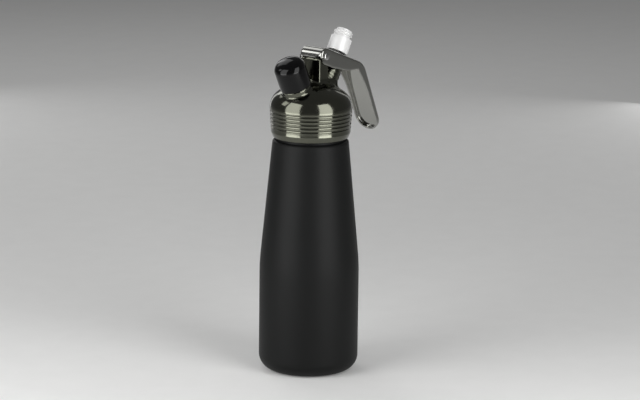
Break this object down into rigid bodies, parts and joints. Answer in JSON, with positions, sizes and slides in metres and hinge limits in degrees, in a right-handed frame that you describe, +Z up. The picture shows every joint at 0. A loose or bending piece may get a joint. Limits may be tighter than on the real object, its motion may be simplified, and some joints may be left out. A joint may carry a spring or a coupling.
{
  "type": "whipped cream dispenser",
  "caption": "Pressurised cream whipper: tapered bottle, screw-on valve head with a squeeze lever, an inclined outlet and a capped gas port.",
  "frame": {"origin": "centre of the base, on the surface it stands on", "axes": "+Z up along the bottle, +X towards the hand lever, +Y to the lever's left seen from the bottle"},
  "size_m": [0.1185, 0.08, 0.2751],
  "materials": {
    "bottle_coat": "aluminium under a matte, soft-touch black powder coat",
    "head_plating": "cast aluminium with a gloss black, slightly olive plating",
    "cap_plastic": "gloss black moulded plastic",
    "lever_chrome": "polished chrome on pressed steel",
    "adapter_aluminium": "satin turned aluminium",
    "stainless": "turned stainless steel",
    "spring_steel": "drawn spring wire",
    "insert_brass": "turned brass, nickel-free",
    "bush_plastic": "natural white acetal",
    "silicone": "red food-grade silicone",
    "black_rubber": "black nitrile rubber",
    "liner_foam": "white polyethylene foam"
  },
  "bodies": {
    "bottle": {"bottle": "bottle_coat"},
    "gasket": {"head_gasket": "silicone"},
    "head": {"head_casting": "head_plating", "guide_bush": "bush_plastic", "stem_oring": "black_rubber", "return_spring": "spring_steel", "pivot_pin": "stainless", "inlet_insert": "insert_brass", "insert_oring": "black_rubber", "piercing_pin": "stainless", "charger_seal": "black_rubber", "check_spring": "spring_steel", "check_retainer": "insert_brass"},
    "lever": {"lever": "lever_chrome"},
    "piston": {"piston_stem": "stainless", "piston_seal": "black_rubber", "thrust_collar": "stainless", "outlet_adapter": "adapter_aluminium", "adapter_seal": "black_rubber"},
    "check_valve": {"check_poppet": "stainless", "check_face": "black_rubber"},
    "liner": {"cap_liner": "liner_foam"},
    "cap": {"cap_shell": "cap_plastic"}
  },
  "joints": [
    {"name": "head_lift", "type": "slide", "parent": "bottle", "child": "gasket", "axis": [0, 0, 1], "range_m": [0, 0.01225]},
    {"name": "head_turn", "type": "hinge", "parent": "gasket", "child": "head", "pos_m": [0, 0, 0], "axis": [0, 0, 1], "range_deg": [0, 1260]},
    {"name": "piston_slide", "type": "slide", "parent": "head", "child": "piston", "axis": [-0.515, 0, -0.8572], "range_m": [0, 0.00275], "deforming": ["return_spring"]},
    {"name": "lever_squeeze", "type": "hinge", "parent": "head", "child": "lever", "pos_m": [0.0054, 0, 0.256], "axis": [0, 1, 0], "range_deg": [0, 10], "stiffness_Nm_per_rad": 0.742, "springref_deg": -14.55},
    {"name": "check_slide", "type": "slide", "parent": "head", "child": "check_valve", "axis": [0.4462, 0, -0.8949], "range_m": [0, 0.001], "stiffness_N_per_m": 200, "springref_m": -0.0005, "deforming": ["check_spring"]},
    {"name": "cap_lift", "type": "slide", "parent": "head", "child": "liner", "axis": [-0.4462, 0, 0.8949], "range_m": [0, 0.01]},
    {"name": "cap_turn", "type": "hinge", "parent": "liner", "child": "cap", "pos_m": [-0.0199, 0, 0.235], "axis": [-0.4462, 0, 0.8949], "range_deg": [0, 1440]}
  ],
  "couplings": [
    {"joint": "head_turn", "follows": "head_lift", "rad_per_m": 1795.2},
    {"joint": "lever_squeeze", "follows": "piston_slide", "rad_per_m": 63.581},
    {"joint": "cap_turn", "follows": "cap_lift", "rad_per_m": 2513.3}
  ]
}
